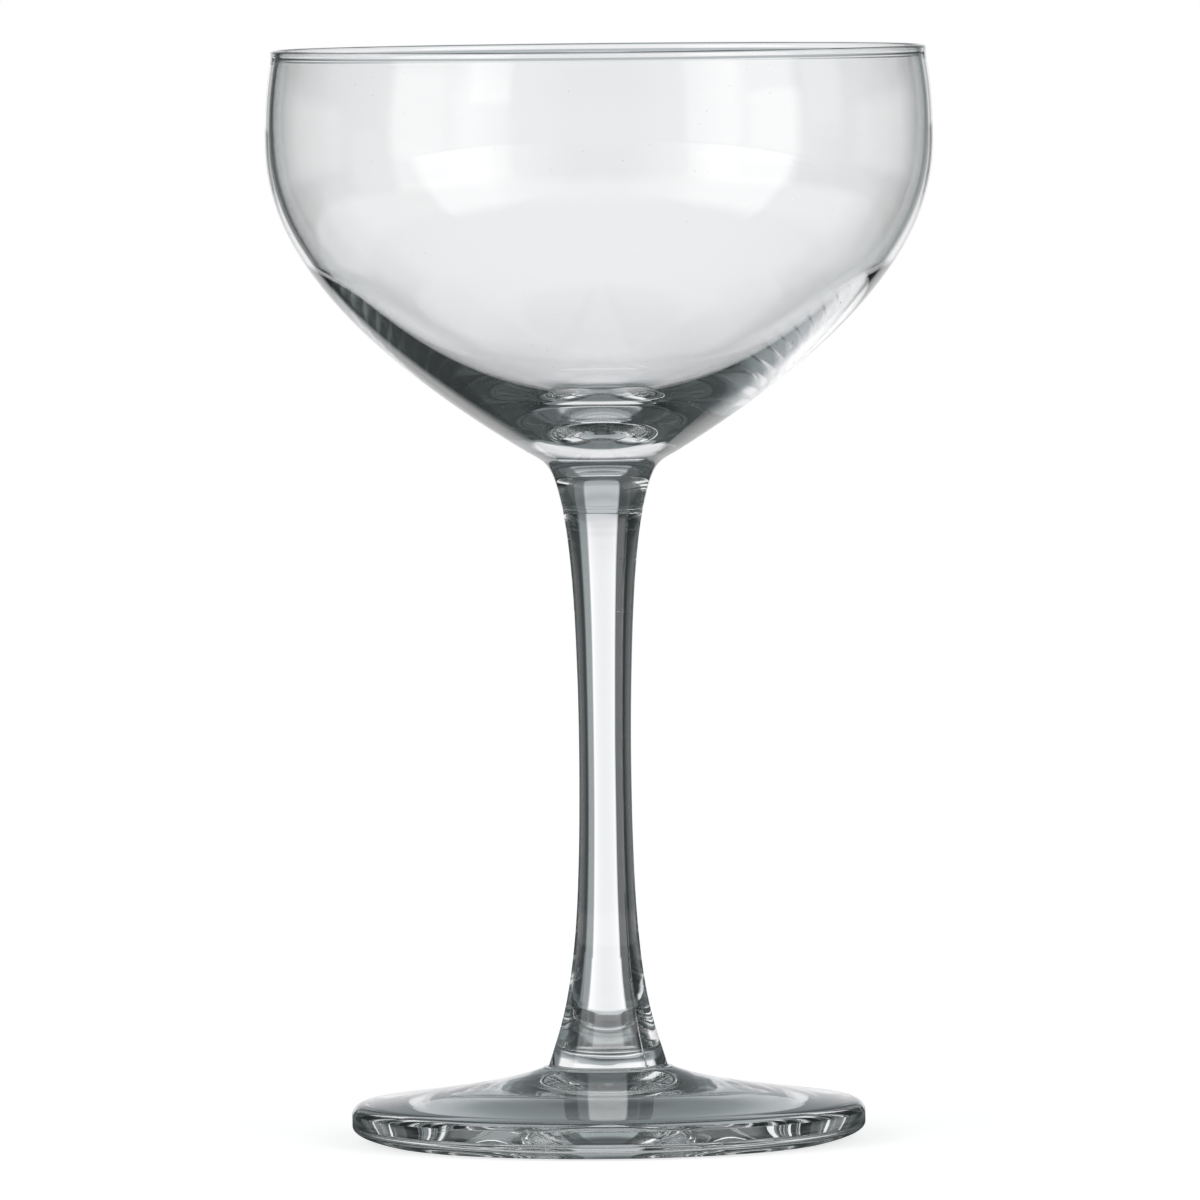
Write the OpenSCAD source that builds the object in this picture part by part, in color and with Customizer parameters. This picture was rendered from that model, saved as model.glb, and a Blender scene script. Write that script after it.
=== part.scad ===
// Coupe glass of clear soda-lime glass, about 22 cl brimful.
// Three pieces of glass share one upright axis and are fused end to end while hot:
// a blown bowl that ends in a short neck, a pressed stem with two mould seams, and a pressed foot.
// Millimetres, +Z up, origin on the table under the middle of the foot.

/* [Foot] */
// Widest diameter of the foot
foot_d = 70.7; // [67:0.1:85]
// Height of the foot's widest line above the table, where the two parts of its mould met
edge_h = 4; // [3.2:0.1:4.6]
// Height of the straight band under that line
band_h = 1.6; // [0.6:0.1:2.4]
// Lean of the rolled shoulder just above that line, in degrees from upright
edge_angle = 20; // [10:1:45]
// Outer diameter of the flat ring that the foot rests on
bearing_d = 62; // [56:0.5:64]
// Width of that ring
bearing_w = 2.5; // [1:0.1:4]
// Diameter where the rolled shoulder meets the low cone on top
shoulder_d = 66.6; // [62:0.1:68]
// Height of that circle above the table
shoulder_h = 5.55; // [5:0.05:6.4]
// Slope of the top at that circle, in degrees from upright
shoulder_angle = 82; // [78:1:86]
// Diameter of the seat that the stem is fused to
seat_d = 17.8; // [17.2:0.1:21]
// Height of the seat above the table
seat_h = 10.2; // [9:0.1:13]
// Slope of the top where it reaches the seat, in degrees from upright
seat_angle = 68; // [55:1:75]
// Height of the hollow under the foot, at its middle
kick_h = 5.4; // [3:0.1:6.5]

/* [Stem] */
// Length of the stem, from its seat to the weld under the bowl
stem_l = 76.9; // [60:0.1:110]
// Diameter at the waist
waist_d = 7.2; // [6:0.1:9]
// Height of the waist above the seat
waist_h = 43; // [38:0.5:50]
// Diameter just above the collar at the stem's base
stem_base_d = 16.3; // [14:0.1:16.8]
// Spread of the stem there, in degrees from upright
stem_base_angle = 17; // [10:1:30]
// Height of the small collar where the stem spreads onto its seat
collar_h = 0.35; // [0.25:0.05:0.8]
// Diameter of the weld between stem and bowl
weld_d = 11.1; // [10:0.1:12]
// Spread of the stem at that weld, in degrees from upright
weld_angle = 12; // [6:1:20]
// Depth of the fine groove left round each fused joint
groove = 0.06; // [0.04:0.01:0.12]
// How far the two mould seams stand out
seam_h = 0.1; // [0.06:0.01:0.2]
// Width of each mould seam
seam_w = 0.35; // [0.2:0.05:0.6]
// Turn of the seams about the axis, from +X towards +Y
seam_turn = -50; // [-90:5:90]

/* [Bowl] */
// Height of the neck under the bowl, from the weld to the foot of the cone
neck_l = 8; // [7:0.1:10]
// Diameter where the neck's curve runs into the cone
cone_d = 21.1; // [19:0.1:23]
// Spread of that cone, in degrees from upright
cone_angle = 58.5; // [56:0.5:60]
// Height of the bowl's widest line above the foot of the cone
belly_l = 44.3; // [40:0.1:48]
// Widest diameter of the bowl
belly_d = 91.8; // [86:0.1:98]
// Height of the rim above the widest line
rim_l = 11.1; // [8:0.1:16]
// Outer diameter just under the rim
rim_d = 90; // [84:0.1:92]
// Lean of the wall at the rim, in degrees from upright
rim_angle = 10; // [0:1:16]
// Thickness of the blown wall at the belly and the rim
wall = 1.05; // [0.9:0.05:1.3]
// Thickness of the wall at its heel, where the thick floor of the bowl begins
heel_wall = 1.35; // [1:0.05:1.7]
// How much thicker than the wall the fire-polished rim is
rim_swell = 0.25; // [0.1:0.05:0.5]
// Depth of solid glass between the inside bottom and the foot of the cone
base_l = 4.2; // [3.6:0.1:7]

/* [Hidden] */

glass_tint = [0.82, 0.88, 0.89];
curve_steps = 14;
short_steps = 5;
$fn = 96;

// Heights above the table, each from the piece below
seat_z = seat_h;
waist_z = seat_z + waist_h;
weld_z = seat_z + stem_l;
cone_z = weld_z + neck_l;
inside_z = cone_z + base_l;
belly_z = cone_z + belly_l;
rim_z = belly_z + rim_l;

// Lengths of the curves' handles, as shares of the height or the radius that each curve spans
bearing_share = 0.47;
bearing_angle = 75;
side_share = 0.52;
roll_share = 0.45;
cone_top_share = 0.22;
seat_share = 0.26;
kick_edge_share = 0.08;
kick_floor_share = 0.6;
kick_angle = 40;
collar_share = 0.6;
stem_base_share = 0.176;
waist_down_share = 0.729;
waist_up_share = 0.316;
weld_down_share = 0.216;
weld_up_share = 0.867;
neck_share = 0.4;
cone_share = 0.95;
belly_down_share = 0.157;
belly_up_share = 0.3;
rim_share = 0.4;
heel_share = 0.46;
heel_down_share = 0.36;
floor_share = 0.42;
bead_angle = 35;
seam_root_share = 0.25;

// The point at distance l from p, in the direction a degrees from upright; outwards where a is positive
function from(p, a, l) = p + l * [sin(a), cos(a)];

// The point that lies at share t of the smooth curve from a to d with the handles b and c
function along(a, b, c, d, t) =
    let (s = 1 - t) s * s * s * a + 3 * t * s * s * b + 3 * t * t * s * c + t * t * t * d;

// The direction of that curve at that point
function heading(a, b, c, d, t) =
    let (s = 1 - t, v = s * s * (b - a) + 2 * t * s * (c - b) + t * t * (d - c)) v / norm(v);

// That curve in n steps, without its first point
function curve(a, b, c, d, n = curve_steps) = [for (i = [1:n]) along(a, b, c, d, i / n)];

function reversed(points) = [for (i = [len(points) - 1:-1:0]) points[i]];

// Underside of the foot, from the inner edge of its bearing ring to the middle
function kick_outline() =
    let (r = bearing_d / 2 - bearing_w, edge = [r, 0], middle = [0, kick_h])
    concat(
        [edge],
        curve(edge, from(edge, -kick_angle, r * kick_edge_share), from(middle, 90, r * kick_floor_share), middle)
    );

// Outside of the foot, from the outer edge of its bearing ring over the rolled shoulder to the seat
function foot_top_outline() =
    let (
        bearing = [bearing_d / 2, 0],
        edge = [foot_d / 2, edge_h],
        band_foot = [foot_d / 2, edge_h - band_h],
        shoulder = [shoulder_d / 2, shoulder_h],
        seat = [seat_d / 2, seat_z - groove],
        tuck = (foot_d - bearing_d) / 2,
        roll = norm(edge - shoulder) * roll_share,
        slope = (shoulder_d - seat_d) / 2
    )
    concat(
        [bearing],
        curve(
            bearing,
            from(bearing, bearing_angle, tuck * bearing_share),
            from(band_foot, 0, -band_foot[1] * side_share),
            band_foot
        ),
        [edge],
        curve(edge, from(edge, -edge_angle, roll), from(shoulder, -shoulder_angle, -roll), shoulder),
        curve(
            shoulder,
            from(shoulder, -shoulder_angle, slope * cone_top_share),
            from(seat, -seat_angle, -slope * seat_share),
            seat
        )
    );

module foot() {
    color(glass_tint)
        rotate_extrude()
            polygon(concat(
                foot_top_outline(),
                [[seat_d / 2 - groove, seat_z], [0, seat_z]],
                reversed(kick_outline())
            ));
}

// Outside of the stem, from its collar through the waist to the weld, grown outwards by the length out
function stem_side_outline(out = 0) =
    let (
        collar = [seat_d / 2 + out, seat_z + groove],
        base = [stem_base_d / 2 + out, seat_z + collar_h],
        waist = [waist_d / 2 + out, waist_z],
        weld = [weld_d / 2 + out, weld_z - groove],
        lower = waist_z - seat_z,
        upper = weld_z - waist_z
    )
    concat(
        [collar],
        curve(
            collar,
            from(collar, 90, -(seat_d - stem_base_d) / 2 * collar_share),
            from(base, -stem_base_angle, -collar_h * collar_share),
            base,
            short_steps
        ),
        curve(
            base,
            from(base, -stem_base_angle, lower * stem_base_share),
            from(waist, 0, -lower * waist_down_share),
            waist
        ),
        curve(
            waist,
            from(waist, 0, upper * waist_up_share),
            from(weld, weld_angle, -upper * weld_down_share),
            weld
        )
    );

module stem() {
    color(glass_tint) {
        rotate_extrude()
            polygon(concat(
                [[0, seat_z], [seat_d / 2 - groove, seat_z]],
                stem_side_outline(),
                [[weld_d / 2 - groove, weld_z], [0, weld_z]]
            ));
        mould_seams();
    }
}

// The two fine seams that the halves of the mould leave on opposite sides of the stem
module mould_seams() {
    turn = asin(seam_w / waist_d) * 2;
    side = [for (p = stem_side_outline(seam_h)) if (p[1] >= seat_z + collar_h) p];
    core = waist_d * seam_root_share;
    for (half = [0, 180])
        rotate([0, 0, seam_turn + half - turn / 2])
            rotate_extrude(angle = turn)
                polygon(concat([[core, side[0][1]]], side, [[core, weld_z - groove]]));
}

// Corners of the curve that the bowl's outside follows from the foot of its cone up to the belly
function bowl_wall_corners() =
    let (cone = [cone_d / 2, cone_z], belly = [belly_d / 2, belly_z])
    [cone, from(cone, cone_angle, belly_l * cone_share), from(belly, 0, -belly_l * belly_down_share), belly];

// Outside of the bowl, from the weld up the neck and the belly to just under the rim
function bowl_side_outline() =
    let (weld = [weld_d / 2, weld_z + groove], q = bowl_wall_corners())
    concat(
        [weld],
        curve(
            weld,
            from(weld, weld_angle, neck_l * weld_up_share),
            from(q[0], cone_angle, -neck_l * neck_share),
            q[0]
        ),
        curve(q[0], q[1], q[2], q[3]),
        rim_wall_curve(q[3], [rim_d / 2, rim_z - wall - rim_swell])
    );

// The point of the bowl's inside across the wall from share t of that curve
function wall_inside(t) =
    let (
        q = bowl_wall_corners(),
        h = heading(q[0], q[1], q[2], q[3], t),
        thickness = wall + (heel_wall - wall) * (1 - t) / (1 - heel_share)
    )
    along(q[0], q[1], q[2], q[3], t) + thickness * [-h[1], h[0]];

// Inside of the bowl, from just under the rim down the wall to its heel, and over the thick floor to the middle
function bowl_inside_outline() =
    let (
        rim = [rim_d / 2 - wall, rim_z - wall - rim_swell],
        belly = [belly_d / 2 - wall, belly_z],
        heel = wall_inside(heel_share),
        q = bowl_wall_corners(),
        h = heading(q[0], q[1], q[2], q[3], heel_share),
        bottom = [0, inside_z]
    )
    concat(
        reversed(rim_wall_curve(belly, rim)),
        [for (i = [0:curve_steps]) wall_inside(1 - i * (1 - heel_share) / curve_steps)],
        curve(
            heel,
            heel - h * (heel[1] - inside_z) * heel_down_share,
            from(bottom, 90, heel[0] * floor_share),
            bottom
        )
    );

// The wall from the belly up to the rim, which leans in a little
function rim_wall_curve(belly, rim) =
    let (rise = rim[1] - belly[1])
    curve(belly, from(belly, 0, rise * belly_up_share), from(rim, -rim_angle, -rise * rim_share), rim, short_steps);

// The fire-polished rim: a round bead, a little thicker than the wall and centred on it
function bead_outline() =
    let (r = (wall + rim_swell) / 2, middle = [(rim_d - wall) / 2, rim_z - r])
    [for (i = [0:curve_steps])
        from(middle, 90 + bead_angle - i * (180 + 2 * bead_angle) / curve_steps, r)];

module bowl() {
    color(glass_tint)
        rotate_extrude()
            polygon(concat(
                [[0, weld_z], [weld_d / 2 - groove, weld_z]],
                bowl_side_outline(),
                bead_outline(),
                bowl_inside_outline()
            ));
}

foot();
stem();
bowl();
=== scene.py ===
# Coupe glass: a blown bowl, a pressed stem and a pressed foot, fused end to end on one upright axis
import math
import bpy
import bmesh
from mathutils import Matrix, Vector, noise


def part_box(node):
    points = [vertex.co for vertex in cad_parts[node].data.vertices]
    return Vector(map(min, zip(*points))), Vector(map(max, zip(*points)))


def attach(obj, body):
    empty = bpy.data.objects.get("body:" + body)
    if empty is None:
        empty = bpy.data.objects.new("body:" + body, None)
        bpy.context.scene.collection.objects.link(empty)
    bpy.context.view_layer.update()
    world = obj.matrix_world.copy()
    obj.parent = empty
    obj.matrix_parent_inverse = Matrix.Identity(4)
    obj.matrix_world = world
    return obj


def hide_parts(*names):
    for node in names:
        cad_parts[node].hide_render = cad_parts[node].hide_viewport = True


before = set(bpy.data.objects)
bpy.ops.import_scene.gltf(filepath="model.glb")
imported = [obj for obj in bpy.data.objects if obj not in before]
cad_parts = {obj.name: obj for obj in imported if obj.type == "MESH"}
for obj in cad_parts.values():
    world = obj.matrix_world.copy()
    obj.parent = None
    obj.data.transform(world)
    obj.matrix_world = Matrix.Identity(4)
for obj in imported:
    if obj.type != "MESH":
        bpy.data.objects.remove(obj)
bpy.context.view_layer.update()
mm = 0.001  # outlines are worked out in millimetres and made in metres
onAxis = 0.01  # mm; a point nearer to the axis than this lies on it
mergeReach = 0.0005  # mm; points nearer to each other than this are one
sharpAngle = 40  # degrees; only corners sharper than this are shown as corners

seatHeight = (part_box("foot")[1] / mm).z  # where the stem stands on the foot
weldHeight = (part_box("stem")[1] / mm).z  # where the bowl's neck meets the stem
rimHeight = (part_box("bowl")[1] / mm).z


# outlines are points (radius, height); a handle lies at an angle from upright, outwards when positive
def handle(point, angle, length):
    turn = math.radians(angle)
    return (point[0] + length * math.sin(turn), point[1] + length * math.cos(turn))


def curvePoint(corners, t):
    weights = ((1 - t) ** 3, 3 * t * (1 - t) ** 2, 3 * t * t * (1 - t), t ** 3)
    return tuple(sum(w * c[k] for w, c in zip(weights, corners)) for k in (0, 1))


def curveHeading(corners, t):
    sides = [(b[0] - a[0], b[1] - a[1]) for a, b in zip(corners, corners[1:])]
    weights = ((1 - t) ** 2, 2 * t * (1 - t), t * t)
    way = [sum(w * side[k] for w, side in zip(weights, sides)) for k in (0, 1)]
    return [v / math.hypot(*way) for v in way]


def smoothCurve(start, startHandle, endHandle, end, steps):
    corners = (start, startHandle, endHandle, end)  # the start is left out, so that curves chain
    return [curvePoint(corners, i / steps) for i in range(1, steps + 1)]


def bentLine(start, startAngle, startLength, endAngle, endLength, end, steps):
    startHandle = handle(start, startAngle, startLength)
    endHandle = handle(end, endAngle, -endLength)
    return smoothCurve(start, startHandle, endHandle, end, steps)


def spunForm(outline, segments):
    bm = bmesh.new()
    verts = [bm.verts.new((r * mm, 0, z * mm)) for r, z in outline]
    edges = [bm.edges.new(pair) for pair in zip(verts, verts[1:])]
    bmesh.ops.spin(bm, geom=verts + edges, axis=(0, 0, 1), cent=(0, 0, 0), dvec=(0, 0, 0),
                   angle=2 * math.pi, steps=segments, use_merge=True)
    bmesh.ops.remove_doubles(bm, verts=bm.verts, dist=mergeReach * mm)
    bmesh.ops.recalc_face_normals(bm, faces=bm.faces)
    return bm


def fade(value, low, high):
    share = min(max((value - low) / (high - low), 0), 1)
    return share * share * (3 - 2 * share)


def between(value, foot, top):  # 1 between two soft borders and 0 outside them
    return fade(value, *foot) * (1 - fade(value, *top))


# glass is never quite even: its surface rises and sinks along its normals, by share more or less
def unevenSurface(bm, wave, share):
    bm.normal_update()
    moves = []
    for vert in bm.verts:
        radius, height = math.hypot(vert.co.x, vert.co.y) / mm, vert.co.z / mm
        depth = wave["depth"] * share(radius, height, vert.normal)
        if depth:
            place = Vector((vert.co.x / mm / wave["across"], vert.co.y / mm / wave["across"],
                            height / wave["upward"] + wave["seed"]))
            moves.append((vert, vert.normal * (depth * mm * noise.noise(place))))
    for vert, move in moves:
        vert.co += move


def newObject(name, bm):
    mesh = bpy.data.meshes.new(name)
    bm.to_mesh(mesh)
    bm.free()
    made = bpy.data.objects.new(name, mesh)
    bpy.context.scene.collection.objects.link(made)
    return made


def finishedPiece(name, bm):
    piece = newObject(name, bm)
    piece.data.polygons.foreach_set("use_smooth", [True] * len(piece.data.polygons))
    piece.data.set_sharp_from_angle(angle=math.radians(sharpAngle))
    return piece


# lengths are in millimetres and angles in degrees from upright; each handle is a share of its curve's reach
footShape = {
    "diameter": 70.7, "edgeHeight": 4, "bandHeight": 1.6, "edgeAngle": 20,
    "bearingDiameter": 62, "bearingWidth": 2.5, "tuckAngle": 75, "tuckHandle": 0.47, "bandHandle": 0.52,
    "shoulderDiameter": 66.6, "shoulderHeight": 5.55, "shoulderAngle": 82, "rollHandle": 0.45,
    "seatDiameter": 17.8, "seatAngle": 68, "slopeHandle": 0.22, "seatHandle": 0.26, "groove": 0.06,
    "kickHeight": 5.4, "kickAngle": 40, "kickEdgeHandle": 0.08, "kickFloorHandle": 0.6,
    "steps": 36, "segments": 192,
    "wave": {"depth": 0.02, "across": 7, "upward": 6, "seed": 5},
    # the waves' borders: up from the table, up from the seat, and outwards on the underside
    "waveFoot": (5.6, 6.2), "waveTop": (-0.7, -0.2), "waveKick": (24, 28),
}


def footOutline(s):
    bearing = (s["bearingDiameter"] / 2, 0)
    inside = (bearing[0] - s["bearingWidth"], 0)
    middle = (0, s["kickHeight"])
    edge = (s["diameter"] / 2, s["edgeHeight"])  # the line where the two parts of the mould met
    bandFoot = (edge[0], s["edgeHeight"] - s["bandHeight"])
    shoulder = (s["shoulderDiameter"] / 2, s["shoulderHeight"])
    seat = (s["seatDiameter"] / 2, seatHeight - s["groove"])
    tuck = edge[0] - bearing[0]
    roll = math.dist(edge, shoulder) * s["rollHandle"]
    slope = shoulder[0] - seat[0]
    kick = bentLine(inside, -s["kickAngle"], inside[0] * s["kickEdgeHandle"],
                    -90, inside[0] * s["kickFloorHandle"], middle, s["steps"])
    return (
        kick[::-1] + [inside, bearing]
        + bentLine(bearing, s["tuckAngle"], tuck * s["tuckHandle"],
                   0, bandFoot[1] * s["bandHandle"], bandFoot, s["steps"]) + [edge]
        + bentLine(edge, -s["edgeAngle"], roll, -s["shoulderAngle"], roll, shoulder, s["steps"])
        + bentLine(shoulder, -s["shoulderAngle"], slope * s["slopeHandle"],
                   -s["seatAngle"], slope * s["seatHandle"], seat, s["steps"])
        + [(s["seatDiameter"] / 2 - s["groove"], seatHeight), (0, seatHeight)]
    )


def footWave(radius, height, normal):
    top = between(height, footShape["waveFoot"], [seatHeight + d for d in footShape["waveTop"]])
    kick = 1 - fade(radius, *footShape["waveKick"])
    return top * (normal.z > 0) + kick * (normal.z < 0)


stemShape = {
    "waistDiameter": 7.2, "waistHeight": 43, "waistFootHandle": 0.729, "waistTopHandle": 0.316,
    "baseDiameter": 16.3, "baseAngle": 17, "baseHandle": 0.176,
    "collarHeight": 0.35, "collarHandle": 0.6, "collarSteps": 6,
    "weldDiameter": 11.1, "weldAngle": 12, "weldHandle": 0.216, "groove": 0.04,
    "seamHeight": 0.1, "seamWidth": 0.35, "seamTurn": -50, "seamColumns": 3,
    "steps": 170, "segments": 128,
    "wave": {"depth": 0.02, "across": 5, "upward": 9, "seed": 3},
    "waveFoot": (0.4, 1.6), "waveTop": (-1.2, -0.3),  # the borders, up from the seat and from the weld
    "wrinkle": {"depth": 0.012, "across": 6, "upward": 0.9, "seed": 11},
    "calmFoot": (15, 27), "calmTop": (78, 85),  # between these heights the stem has no wrinkles
}


def stemOutline(s):
    seatRadius = footShape["seatDiameter"] / 2
    collar = (seatRadius, seatHeight + s["groove"])
    base = (s["baseDiameter"] / 2, seatHeight + s["collarHeight"])
    waist = (s["waistDiameter"] / 2, seatHeight + s["waistHeight"])
    weld = (s["weldDiameter"] / 2, weldHeight - s["groove"])
    ledge = collar[0] - base[0]
    lower = waist[1] - seatHeight
    upper = weld[1] - waist[1]
    return (
        [(0, seatHeight), (seatRadius - s["groove"], seatHeight), collar]
        + bentLine(collar, -90, ledge * s["collarHandle"],
                   -s["baseAngle"], s["collarHeight"] * s["collarHandle"], base, s["collarSteps"])
        + bentLine(base, -s["baseAngle"], lower * s["baseHandle"],
                   0, lower * s["waistFootHandle"], waist, s["steps"])
        + bentLine(waist, 0, upper * s["waistTopHandle"],
                   s["weldAngle"], upper * s["weldHandle"], weld, s["steps"])
        + [(weld[0] - s["groove"], weldHeight), (0, weldHeight)]
    )


# two mould seams: the columns of points round each are drawn together, and those on it are raised
def raiseSeams(bm, s):
    step = 360 / s["segments"]
    first = s["seamColumns"] * step
    foot, top = seatHeight + s["collarHeight"], weldHeight - s["groove"]
    for vert in bm.verts:
        radius = math.hypot(vert.co.x, vert.co.y) / mm
        if radius < onAxis:
            continue
        turn = math.degrees(math.atan2(vert.co.y, vert.co.x)) - s["seamTurn"]
        seam = round(turn / 180) * 180  # the nearer of the two, on opposite sides
        column = round((turn - seam) / step)
        place = column / s["seamColumns"]
        border = math.degrees(s["seamWidth"] / 2 / radius)
        if abs(place) <= 1:
            turn = place * border
            if foot <= vert.co.z / mm <= top:
                radius += s["seamHeight"] * (1 - place * place)
        else:
            spread = border + (abs(column) * step - first) * (90 - border) / (90 - first)
            turn = math.copysign(spread, column)
        angle = math.radians(s["seamTurn"] + seam + turn)
        vert.co.x, vert.co.y = radius * mm * math.cos(angle), radius * mm * math.sin(angle)
    bm.normal_update()


def stemWave(radius, height, normal):
    return between(height, [seatHeight + d for d in stemShape["waveFoot"]],
                   [weldHeight + d for d in stemShape["waveTop"]])


def stemWrinkle(radius, height, normal):
    ends = 1 - between(height, stemShape["calmFoot"], stemShape["calmTop"])  # they chilled unevenly
    return ends * stemWave(radius, height, normal)


bowlShape = {
    "neckLength": 8, "neckHandle": 0.867, "neckTopHandle": 0.4,
    "coneDiameter": 21.1, "coneAngle": 58.5, "coneHandle": 0.95,
    "bellyDiameter": 91.8, "bellyFootHandle": 0.157, "bellyTopHandle": 0.3,
    "rimRise": 11.1, "rimDiameter": 90, "rimAngle": 10, "rimHandle": 0.4,
    "rimSwell": 0.25, "beadAngle": 35, "wall": 1.05,
    "heel": 0.46, "heelWall": 1.35, "heelHandle": 0.36,  # the heel's place is a share of the wall's curve
    "baseDepth": 4.2, "baseHandle": 0.42, "groove": 0.04,
    "steps": 64, "rimSteps": 16, "segments": 256,
    "floorWave": {"depth": 0.006, "across": 5, "upward": 7, "seed": 7},
    "floorWaveRise": 3, "floorWaveEdge": (14, 24),  # inside only: up from the cone, and outwards
}


def insidePoint(s, wallCurve, t):
    outside = curvePoint(wallCurve, t)
    way = curveHeading(wallCurve, t)
    thickness = s["wall"] + (s["heelWall"] - s["wall"]) * (1 - t) / (1 - s["heel"])
    return (outside[0] - thickness * way[1], outside[1] + thickness * way[0])


def bowlOutline(s):
    weld = (stemShape["weldDiameter"] / 2, weldHeight + s["groove"])
    cone = (s["coneDiameter"] / 2, weldHeight + s["neckLength"])
    belly = (s["bellyDiameter"] / 2, rimHeight - s["rimRise"])
    rim = (s["rimDiameter"] / 2, rimHeight - s["wall"] - s["rimSwell"])
    rise = rim[1] - belly[1]
    climb = belly[1] - cone[1]
    neck = bentLine(weld, stemShape["weldAngle"], s["neckLength"] * s["neckHandle"],
                    s["coneAngle"], s["neckLength"] * s["neckTopHandle"], cone, s["steps"] // 2)
    wallCurve = (cone, handle(cone, s["coneAngle"], climb * s["coneHandle"]),
                 handle(belly, 0, -climb * s["bellyFootHandle"]), belly)
    rimWall = bentLine(belly, 0, rise * s["bellyTopHandle"],
                       -s["rimAngle"], rise * s["rimHandle"], rim, s["rimSteps"])
    bead = (s["wall"] + s["rimSwell"]) / 2  # the radius to which the rim melted
    beadMiddle = ((s["rimDiameter"] - s["wall"]) / 2, rimHeight - bead)
    lap = s["beadAngle"]
    beadArc = [handle(beadMiddle, 90 + lap - i * (180 + 2 * lap) / s["rimSteps"], bead)
               for i in range(s["rimSteps"] + 1)]
    insideWall = [insidePoint(s, wallCurve, 1 - i * (1 - s["heel"]) / s["steps"])
                  for i in range(s["steps"] + 1)]
    heel = insideWall[-1]
    way = curveHeading(wallCurve, s["heel"])
    bottom = (0, cone[1] + s["baseDepth"])
    drop = (heel[1] - bottom[1]) * s["heelHandle"]
    lens = smoothCurve(heel, (heel[0] - way[0] * drop, heel[1] - way[1] * drop),
                       handle(bottom, 90, heel[0] * s["baseHandle"]), bottom, s["steps"])
    return (
        [(0, weldHeight), (weld[0] - s["groove"], weldHeight), weld]
        + neck + smoothCurve(*wallCurve, s["steps"]) + rimWall + beadArc
        + [(r - s["wall"], z) for r, z in reversed(rimWall)] + insideWall + lens
    )


def bowlFloorWave(radius, height, normal):
    lowest = weldHeight + bowlShape["neckLength"] + bowlShape["floorWaveRise"]
    inside = normal.z > 0 and height > lowest
    return (1 - fade(radius, *bowlShape["floorWaveEdge"])) * inside


# a socket is fed by another node's output or by a fixed value
def feed(tree, sockets, values):
    for socket, value in zip(sockets, values):
        if hasattr(value, "is_output"):
            tree.links.new(value, socket)
        else:
            socket.default_value = value


def maths(tree, operation, *values, clamp=False):
    node = tree.nodes.new("ShaderNodeMath")
    node.operation = operation
    node.use_clamp = clamp
    feed(tree, node.inputs, values)
    return node.outputs[0]


def vectorMaths(tree, operation, *values):
    node = tree.nodes.new("ShaderNodeVectorMath")
    node.operation = operation
    second = node.inputs["Scale"] if operation == "SCALE" else node.inputs[1]
    feed(tree, (node.inputs[0], second), values)
    return node.outputs["Value" if operation in ("LENGTH", "DISTANCE") else "Vector"]


def mixed(tree, factor, low, high):
    node = tree.nodes.new("ShaderNodeMix")
    node.data_type = "FLOAT"
    feed(tree, (node.inputs[0], node.inputs[2], node.inputs[3]), (factor, low, high))
    return node.outputs[0]


def rangeStep(tree, value, low, high):
    node = tree.nodes.new("ShaderNodeMapRange")
    node.interpolation_type = "SMOOTHSTEP"
    feed(tree, (node.inputs["Value"], node.inputs["From Min"], node.inputs["From Max"]), (value, low, high))
    return node.outputs[0]


def colourRamp(tree, factor, stops):  # stops are (place 0 to 1, colour)
    node = tree.nodes.new("ShaderNodeValToRGB")
    elements = node.color_ramp.elements
    while len(elements) < len(stops):
        elements.new(1)
    for element, (place, colour) in zip(elements, stops):
        element.position = place
        element.color = (*colour, 1)
    tree.links.new(factor, node.inputs[0])
    return node.outputs[0]


def greyRamp(tree, factor, stops):  # stops are (place 0 to 1, brightness)
    return colourRamp(tree, factor, [(place, (value, value, value)) for place, value in stops])


def noiseValue(tree, place, scale, detail):
    node = tree.nodes.new("ShaderNodeTexNoise")
    node.inputs["Scale"].default_value = scale
    node.inputs["Detail"].default_value = detail
    tree.links.new(place, node.inputs["Vector"])
    return node.outputs[0]


def newGroup(name, sockets):
    tree = bpy.data.node_groups.new(name, "ShaderNodeTree")
    for socket, way, kind in sockets:
        tree.interface.new_socket(socket, in_out=way, socket_type="NodeSocket" + kind)
    return tree, tree.nodes.new("NodeGroupInput").outputs, tree.nodes.new("NodeGroupOutput").inputs


# what is left on clear glass: specks of dust, a few hair scratches and a skin that isn't quite even
glassSkin = {
    "speckScale": 420, "speckRadius": 0.034, "speckShare": 0.4, "speckTone": 0.55, "speckRoughness": 0.45,
    "scratchAcross": (14, 14, 90), "scratchMiddle": 0.5, "scratchWidth": 0.0022, "scratchPatch": 9,
    "scratchShare": 0.6, "scratchRoughness": 0.12, "rippleScale": 110, "rippleDepth": 0.00004,
}


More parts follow.
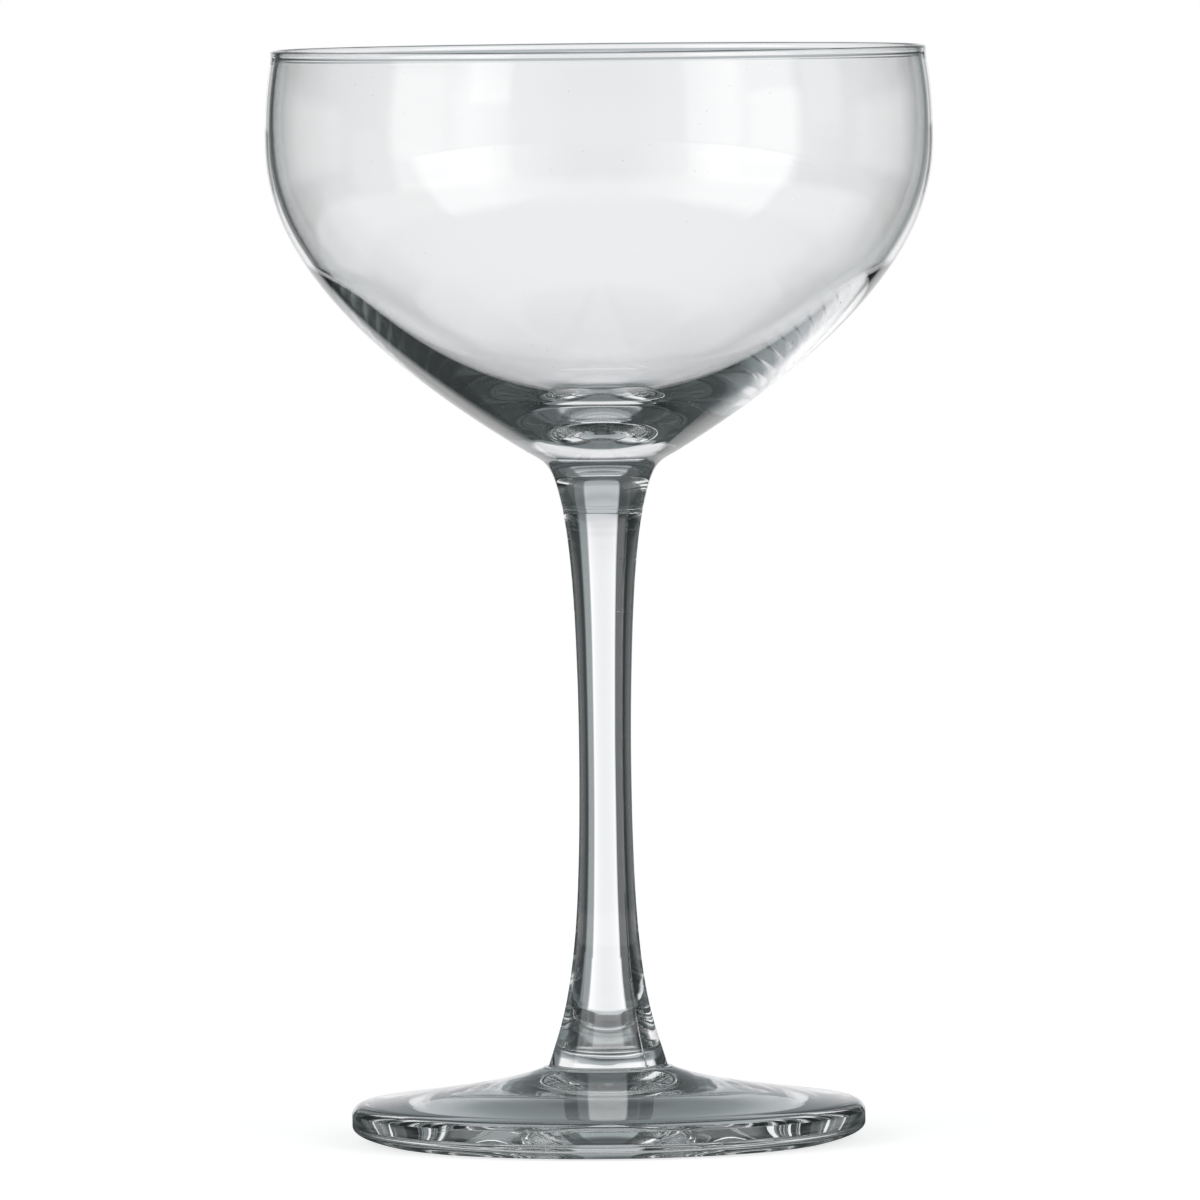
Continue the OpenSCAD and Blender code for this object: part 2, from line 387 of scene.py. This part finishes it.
def makeSkinGroup(s):
    tree, given, made = newGroup("glassSkin", (
        ("Tint", "INPUT", "Color"), ("Ripple", "INPUT", "Float"),
        ("Colour", "OUTPUT", "Color"), ("Roughness", "OUTPUT", "Float"), ("Normal", "OUTPUT", "Vector"),
    ))
    place = tree.nodes.new("ShaderNodeTexCoord").outputs["Object"]
    cells = tree.nodes.new("ShaderNodeTexVoronoi")
    cells.inputs["Scale"].default_value = s["speckScale"]
    tree.links.new(place, cells.inputs["Vector"])
    chance = tree.nodes.new("ShaderNodeSeparateColor")
    tree.links.new(cells.outputs["Color"], chance.inputs[0])
    speck = maths(tree, "MULTIPLY", maths(tree, "LESS_THAN", cells.outputs["Distance"], s["speckRadius"]),
                  maths(tree, "LESS_THAN", chance.outputs[0], s["speckShare"]))
    lines = noiseValue(tree, vectorMaths(tree, "MULTIPLY", place, s["scratchAcross"]), 1, 0)
    patch = maths(tree, "GREATER_THAN", noiseValue(tree, place, s["scratchPatch"], 0), s["scratchShare"])
    scratch = maths(tree, "COMPARE", lines, s["scratchMiddle"], s["scratchWidth"])
    scratch = maths(tree, "MULTIPLY", scratch, patch)
    roughness = maths(tree, "MAXIMUM", maths(tree, "MULTIPLY", speck, s["speckRoughness"]),
                      maths(tree, "MULTIPLY", scratch, s["scratchRoughness"]))
    tree.links.new(roughness, made["Roughness"])
    tone = mixed(tree, speck, 1, s["speckTone"])
    tree.links.new(vectorMaths(tree, "SCALE", given["Tint"], tone), made["Colour"])
    bump = tree.nodes.new("ShaderNodeBump")
    bump.inputs["Distance"].default_value = s["rippleDepth"]
    tree.links.new(given["Ripple"], bump.inputs["Strength"])
    tree.links.new(noiseValue(tree, place, s["rippleScale"], 1), bump.inputs["Height"])
    tree.links.new(bump.outputs[0], made["Normal"])
    return tree


glassIndex = 1.52  # soda-lime
glassKinds = {
    "blownGlass": {"tint": (0.995, 0.998, 0.998), "ripple": 0.05},
    "pressedGlass": {"tint": (0.985, 0.992, 0.992), "ripple": 0.1},
}


def makeGlass(name):
    kind = glassKinds[name]
    material = bpy.data.materials.new(name)
    material.use_nodes = True
    tree = material.node_tree
    shader = tree.nodes["Principled BSDF"]
    shader.inputs["IOR"].default_value = glassIndex
    shader.inputs["Transmission Weight"].default_value = 1
    skin = tree.nodes.new("ShaderNodeGroup")
    skin.node_tree = skinGroup
    skin.inputs["Tint"].default_value = (*kind["tint"], 1)
    skin.inputs["Ripple"].default_value = kind["ripple"]
    for output, socket in (("Colour", "Base Color"), ("Roughness", "Roughness"), ("Normal", "Normal")):
        tree.links.new(skin.outputs[output], shader.inputs[socket])
    return material


def makeFusedFace():
    material = bpy.data.materials.new("fusedFace")  # where two pieces are one glass, light goes straight on
    material.use_nodes = True
    shader = material.node_tree.nodes["Principled BSDF"]
    shader.inputs["Alpha"].default_value = 0
    return material


fusedFaces = {"level": 0.99, "reach": 0.002}  # how level such a face is, and how near to a joint in mm


def markFusedFaces(piece, joints):
    for face in piece.data.polygons:
        level = abs(face.normal.z) > fusedFaces["level"]
        if level and any(abs(face.center.z - height * mm) < fusedFaces["reach"] * mm for height in joints):
            face.material_index = 1


stemForm = spunForm(stemOutline(stemShape), stemShape["segments"])
raiseSeams(stemForm, stemShape)
unevenSurface(stemForm, stemShape["wave"], stemWave)
unevenSurface(stemForm, stemShape["wrinkle"], stemWrinkle)
footForm = spunForm(footOutline(footShape), footShape["segments"])
unevenSurface(footForm, footShape["wave"], footWave)
bowlForm = spunForm(bowlOutline(bowlShape), bowlShape["segments"])
unevenSurface(bowlForm, bowlShape["floorWave"], bowlFloorWave)
print("forms made")

skinGroup = makeSkinGroup(glassSkin)
blownGlass = makeGlass("blownGlass")
pressedGlass = makeGlass("pressedGlass")
fusedFace = makeFusedFace()
foot = finishedPiece("glassFoot", footForm)
stem = finishedPiece("glassStem", stemForm)
bowl = finishedPiece("glassBowl", bowlForm)
for piece, node, slot, glass, joints in (
    (foot, "foot", "pressed_glass", pressedGlass, [seatHeight]),
    (stem, "stem", "pressed_glass", pressedGlass, [seatHeight, weldHeight]),
    (bowl, "bowl", "blown_glass", blownGlass, [weldHeight]),
):
    piece.data.materials.append(glass)
    piece.data.materials.append(fusedFace)
    markFusedFaces(piece, joints)
    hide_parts(node)
    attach(piece, "root")
print("glass made")


# the photographer's camera: far back, just above the rim; metres, degrees and the photo's pixels
cameraSetup = {
    "distance": 2.104, "height": 0.179, "aim": (-0.0005, 0, 0.0745), "roll": -0.585,
    "focalPixels": 15312, "framePixels": 1200, "reach": 100,
}


def placeCamera(s):
    camera = bpy.data.objects.new("camera", bpy.data.cameras.new("camera"))
    bpy.context.scene.collection.objects.link(camera)
    camera.location = (0, -s["distance"], s["height"])
    look = Vector(s["aim"]) - camera.location
    turn = look.to_track_quat("-Z", "Y").to_matrix().to_4x4()
    roll = Matrix.Rotation(math.radians(s["roll"]), 4, "Z")
    camera.matrix_world = Matrix.Translation(camera.location) @ turn @ roll
    camera.data.sensor_fit = "HORIZONTAL"
    camera.data.angle = 2 * math.atan(s["framePixels"] / 2 / s["focalPixels"])
    camera.data.clip_end = s["reach"]
    bpy.context.scene.camera = camera


placeCamera(cameraSetup)
print("camera placed")


# the studio's light by its brightness: greenish blue when dark, faintly violet when bright, white at full
studioTint = {
    "stops": [(0, (0.86, 1, 1)), (0.35, (0.9, 1, 1.03)), (0.7, (0.985, 0.985, 1.02)), (1, (1, 1, 1))],
}


def makeTintGroup(s):
    tree, given, made = newGroup("studioTint", (
        ("Brightness", "INPUT", "Float"), ("Colour", "OUTPUT", "Color"),
    ))
    tint = colourRamp(tree, given["Brightness"], s["stops"])
    tree.links.new(vectorMaths(tree, "SCALE", tint, given["Brightness"]), made["Colour"])
    return tree


def tinted(tree, brightness):
    group = tree.nodes.new("ShaderNodeGroup")
    group.node_tree = tintGroup
    tree.links.new(brightness, group.inputs["Brightness"])
    return group.outputs["Colour"]


tintGroup = makeTintGroup(studioTint)

# brightness round the studio, by azimuth in degrees from straight behind the glass, right positive, and by
# elevation in degrees; a pair of elevations is a soft border between them
studio = {
    # light that came through the glass meets this wall, which falls off upwards and has a faint glow on top
    "through": [(-180, 0.3), (-128, 0.25), (-120, 0.15), (-90, 0.1), (-73, 0.05), (-62, 0.04), (-31, 0.02),
                (-29.8, 0.1), (-28, 0.1), (-27, 0.05), (-16.8, 0.05), (-15, 1), (-11, 0.95), (-7, 0.94),
                (7, 0.93), (13, 0.95), (17.2, 1), (18.6, 0.25), (29.5, 0.26), (31.5, 0.04), (62, 0.03),
                (75, 0.01), (125, 0.01), (132, 0.3), (180, 0.3)],
    "throughFall": [(2, 1), (5, 0.93), (8, 0.8), (11, 0.62), (13.5, 0.45), (16.5, 0.54), (20, 0.5),
                    (23, 0.38), (35, 0.35), (38.5, 0.13), (42, 0.05), (60, 0.03)],
    "throughGlow": [(12, 0), (18, 0.04), (36, 0.05), (60, 0.05), (75, 0.1)],
    # patches that light the cone's sides from the left and the right, and its edge from the left
    "throughSides": [(-104, 0), (-98, 0.8), (-84, 0.8), (-78, 0),
                     (130, 0), (134, 1.1), (147, 1.1), (150, 0)],
    "leftSideTop": (-1, 2), "rightSideTop": (-9, -5),
    "throughEdge": [(-128, 0), (-122, 1.1), (-107, 1.1), (-100, 0.65), (-90, 0.4), (-80, 0.3), (-70, 0.15),
                    (-62, 0)],
    "edgeFoot": (-12, -8), "edgeTop": (12, 17),
    # a dim patch on the right, which the crescent's left end shows
    "throughFar": [(98, 0), (110, 0.22), (120, 0.22), (130, 0)], "farFoot": (3, 11), "farTop": (15, 20),
    # light that was mirrored on the outside meets a wall of its own
    "mirrored": [(-180, 0.3), (-150, 0.3), (-100, 0.3), (-60, 0.2), (-40, 0.1), (-21, 0.06), (-17.5, 0.95),
                 (17.5, 0.95), (21, 0.06), (36, 0.1), (60, 0.2), (100, 0.25), (150, 0.3), (180, 0.3)],
    "mirroredFall": [(3, 1), (7, 0.8), (11, 0.55), (15, 0.42), (20, 0.34), (24, 0.12), (28, 0.04)],
    "mirroredGlow": [(18, 0), (30, 0.1), (60, 0.35)],
    # a bright horizon on both sides; over it the bright wall's edges are dim, which darkens the silhouettes
    "mirroredHorizon": [(-88, 0), (-76, 0.95), (-52, 0.95), (-40, 0.35), (-28, 0.1), (28, 0.1), (40, 0.35),
                        (52, 0.95), (76, 0.95), (88, 0)],
    "horizonFoot": (-13, -7), "horizonTop": (2, 7),
    "edgeDim": [(-21, 0), (-17.5, 0.9), (-13.5, 0.9), (-11, 0),
                (11, 0), (13.5, 0.9), (17.5, 0.9), (21, 0)],
    "edgeDimFoot": (-7, -4),
    # below the walls lies the ground, which is darker further down
    "throughGround": [(-180, 0.9), (-60, 0.9), (-38, 0.9), (-34, 0.3), (-21, 0.35), (-17, 0.85), (17, 0.85),
                      (20, 0.35), (34, 0.25), (55, 0.2), (66, 0.8), (80, 0.9), (180, 0.9)],
    "mirroredGround": [(-180, 0.9), (-80, 0.9), (-70, 0.25), (-32, 0.2), (-21, 0.12), (-17, 1.1), (19, 1.1),
                       (24, 0.25), (70, 0.25), (80, 0.9), (180, 0.9)],
    "groundTop": (-22, -19.5), "deepGround": (-39, -33), "deepShare": 0.4,
    # the lamps stand on both sides, towards the camera
    "throughLamps": [(-150, 0), (-147, 1), (-130, 1), (-124, 0)],
    "mirroredLamps": [(-172, 0), (-150, 0.4), (-136, 1), (-106, 1), (-101, 0), (105, 0), (110, 1), (134, 1),
                      (148, 0.4), (170, 0)],
    "throughLamp": 1.15, "mirroredLamp": 2.4,
    "lampFoot": (-24, -17), "throughLampTop": (8, 20), "mirroredLampTop": (40, 48),
}


def blendUp(tree, height, border):  # 0 under the border and 1 over it
    return rangeStep(tree, height, *(math.sin(math.radians(degrees)) for degrees in border))


def blendDown(tree, height, border):
    return blendUp(tree, maths(tree, "MULTIPLY", height, -1), [-degrees for degrees in reversed(border)])


def heightBand(tree, height, foot, top):
    return maths(tree, "SUBTRACT", blendUp(tree, height, foot), blendUp(tree, height, top))


def azimuthRamp(tree, direction, stops):
    turn = maths(tree, "ARCTAN2", direction["X"], direction["Y"])
    turn = maths(tree, "MULTIPLY_ADD", turn, 0.5 / math.pi, 0.5)
    return greyRamp(tree, turn, [(degrees / 360 + 0.5, value) for degrees, value in stops])


def elevationRamp(tree, direction, stops):
    place = maths(tree, "MULTIPLY_ADD", direction["Z"], 0.5, 0.5)
    places = [math.sin(math.radians(degrees)) / 2 + 0.5 for degrees, _ in stops]
    return greyRamp(tree, place, [(at, value) for at, (_, value) in zip(places, stops)])


def litPatch(tree, direction, wall, share, stops):
    patch = maths(tree, "MULTIPLY", share, azimuthRamp(tree, direction, stops))
    return maths(tree, "MAXIMUM", wall, patch)


def studioWall(tree, direction, s, name):
    height = direction["Z"]
    ground = azimuthRamp(tree, direction, s[name + "Ground"])
    wall = maths(tree, "MULTIPLY", azimuthRamp(tree, direction, s[name]),
                 elevationRamp(tree, direction, s[name + "Fall"]))
    wall = maths(tree, "ADD", wall, elevationRamp(tree, direction, s[name + "Glow"]))
    if name == "mirrored":
        horizon = heightBand(tree, height, s["horizonFoot"], s["horizonTop"])
        wall = litPatch(tree, direction, wall, horizon, s["mirroredHorizon"])
        dim = maths(tree, "MULTIPLY", azimuthRamp(tree, direction, s["edgeDim"]),
                    blendUp(tree, height, s["edgeDimFoot"]))
        wall = maths(tree, "MULTIPLY", wall, maths(tree, "SUBTRACT", 1, dim))
    else:
        onRight = maths(tree, "GREATER_THAN", direction["X"], 0)
        sides = mixed(tree, onRight, blendDown(tree, height, s["leftSideTop"]),
                      blendDown(tree, height, s["rightSideTop"]))
        wall = litPatch(tree, direction, wall, sides, s["throughSides"])
        edge = maths(tree, "MULTIPLY", blendUp(tree, height, s["edgeFoot"]),
                     blendDown(tree, height, s["edgeTop"]))
        wall = litPatch(tree, direction, wall, edge, s["throughEdge"])
        far = heightBand(tree, height, s["farFoot"], s["farTop"])
        wall = litPatch(tree, direction, wall, far, s["throughFar"])
        deep = maths(tree, "MULTIPLY", ground, s["deepShare"])
        ground = mixed(tree, blendUp(tree, height, s["deepGround"]), deep, ground)
    wall = mixed(tree, blendUp(tree, height, s["groundTop"]), ground, wall)
    lamp = maths(tree, "MULTIPLY", azimuthRamp(tree, direction, s[name + "Lamps"]),
                 blendUp(tree, height, s["lampFoot"]))
    lamp = maths(tree, "SUBTRACT", lamp, blendUp(tree, height, s[name + "LampTop"]), clamp=True)
    return mixed(tree, lamp, wall, s[name + "Lamp"])


def makeStudio(s):
    world = bpy.data.worlds.new("studio")
    bpy.context.scene.world = world
    world.use_nodes = True
    tree = world.node_tree
    axes = tree.nodes.new("ShaderNodeSeparateXYZ")
    tree.links.new(tree.nodes.new("ShaderNodeTexCoord").outputs["Generated"], axes.inputs[0])
    path = tree.nodes.new("ShaderNodeLightPath")
    mirrored = studioWall(tree, axes.outputs, s, "mirrored")
    through = studioWall(tree, axes.outputs, s, "through")
    seen = mixed(tree, path.outputs["Is Transmission Ray"], mirrored, through)
    seen = mixed(tree, path.outputs["Is Camera Ray"], seen, 1)  # the camera sees plain white
    tree.links.new(tinted(tree, seen), tree.nodes["Background"].inputs["Color"])


# the floor's glow goes by the place, as a share of the inner radius, and by the look: 0 steep, 1 grazing
floorSetup = {
    "innerRadius": 0.12, "outerRadius": 1.2, "segments": 128, "grey": 0.7, "cameraGlow": 0.7,
    # a steep look meets a ground that changes with the azimuth, with a painted shadow under the glass
    "steep": [(0.13, 0.45), (0.3, 0.5), (0.42, 0.75), (0.5, 0.95), (0.58, 1)],
    "ground": [(-180, 0.9), (-60, 0.9), (-38, 0.9), (-34, 0.12), (-19, 0.12), (-16, 0.45), (18, 0.45),
               (20, 0.15), (55, 0.12), (66, 0.8), (80, 0.9), (180, 0.9)],
    "under": [(0.2, 0.15), (0.3, 0.2), (0.34, 1), (1, 1)],
    # a grazing look meets the studio's wall, or under the foot the shade of its middle
    "grazing": (0.625, 0.666), "footGrazing": (0.4, 0.48), "footShadeEdge": (0.28, 0.33),
    "footShade": [(0.05, 0.12), (0.08, 0.16), (0.12, 0.19), (0.15, 0.25), (0.165, 0.34), (0.185, 0.48),
                  (0.21, 0.62), (0.24, 0.8), (0.27, 1)],
    "shadeMiddle": (0, -0.009, 0),
    "backShade": (0.008, 0.02), "backShare": 0.35,  # behind the axis the wall shows through the shade
    # the floor as mirrored in the glass, with a painted shadow near the glass
    "mirrored": [(0.3, 0.08), (0.4, 0.15), (0.62, 1)],
}


def makeFloorPart(name, radius, hole, segments):
    bm = bmesh.new()
    bmesh.ops.create_circle(bm, cap_ends=not hole, radius=hole or radius, segments=segments)
    if hole:
        rim = bmesh.ops.extrude_edge_only(bm, edges=bm.edges[:])["geom"]
        outer = [v for v in rim if isinstance(v, bmesh.types.BMVert)]
        bmesh.ops.scale(bm, vec=(radius / hole, radius / hole, 1), verts=outer)
    part = newObject(name, bm)
    return part


def makeFloorMaterial(s):
    material = bpy.data.materials.new("floor")
    material.use_nodes = True
    tree = material.node_tree
    shader = tree.nodes["Principled BSDF"]
    shader.inputs["Roughness"].default_value = 1
    shader.inputs["Specular IOR Level"].default_value = 0
    shader.inputs["Emission Strength"].default_value = 1
    path = tree.nodes.new("ShaderNodeLightPath")
    byCamera = path.outputs["Is Camera Ray"]
    place = tree.nodes.new("ShaderNodeTexCoord").outputs["Object"]
    axes = tree.nodes.new("ShaderNodeSeparateXYZ")
    tree.links.new(place, axes.inputs[0])
    away = maths(tree, "DIVIDE", vectorMaths(tree, "LENGTH", place), s["innerRadius"])
    facing = tree.nodes.new("ShaderNodeLayerWeight").outputs["Facing"]
    steep = maths(tree, "MULTIPLY", greyRamp(tree, facing, s["steep"]),
                  azimuthRamp(tree, axes.outputs, s["ground"]))
    # painted shadow: the ground seen through the glass is darker under it
    steep = maths(tree, "MULTIPLY", steep, greyRamp(tree, away, s["under"]))
    wall = azimuthRamp(tree, axes.outputs, studio["through"])
    wide = mixed(tree, rangeStep(tree, facing, *s["grazing"]), steep, wall)
    # painted shadow of the foot: darkest round a point just in front of the axis, towards the camera
    shaded = vectorMaths(tree, "DISTANCE", place, s["shadeMiddle"])
    shade = greyRamp(tree, maths(tree, "DIVIDE", shaded, s["innerRadius"]), s["footShade"])
    back = rangeStep(tree, axes.outputs["Y"], *s["backShade"])
    shade = mixed(tree, back, shade, maths(tree, "MULTIPLY", wall, s["backShare"]))
    near = mixed(tree, rangeStep(tree, facing, *s["footGrazing"]), steep, shade)
    through = mixed(tree, rangeStep(tree, away, *s["footShadeEdge"]), near, wide)
    # painted shadow: as mirrored in the glass, the floor is darker near the glass
    mirrored = maths(tree, "MULTIPLY", greyRamp(tree, away, s["mirrored"]),
                     azimuthRamp(tree, axes.outputs, studio["mirroredGround"]))
    glow = mixed(tree, path.outputs["Is Transmission Ray"], mirrored, through)
    glow = mixed(tree, byCamera, glow, s["cameraGlow"])
    tone = tree.nodes.new("ShaderNodeMix")  # the camera sees a neutral floor, the glass a tinted one
    tone.data_type = "RGBA"
    feed(tree, (tone.inputs[0], tone.inputs[6], tone.inputs[7]), (byCamera, tinted(tree, glow), glow))
    tree.links.new(tone.outputs[2], shader.inputs["Emission Color"])
    grey = maths(tree, "MULTIPLY", byCamera, s["grey"])  # and the camera alone sees it lit
    tree.links.new(grey, shader.inputs["Base Color"])
    return material


def makeFloor(s):
    inner = makeFloorPart("floorMiddle", s["innerRadius"], 0, s["segments"])
    outer = makeFloorPart("floorOuter", s["outerRadius"], s["innerRadius"], s["segments"])
    material = makeFloorMaterial(s)
    inner.data.materials.append(material)
    outer.data.materials.append(material)
    outer.visible_transmission = False  # further out the glass sees the studio's ground in its stead
    outer.visible_glossy = False


# light is trapped between the faces of a glass for many turns, so its paths are followed further
lightPaths = {"max_bounces": 48, "glossy_bounces": 32, "transmission_bounces": 32}
for name, count in lightPaths.items():
    setattr(bpy.context.scene.cycles, name, count)

makeStudio(studio)
makeFloor(floorSetup)
bpy.context.scene.view_settings.view_transform = "Standard"
print("studio made")
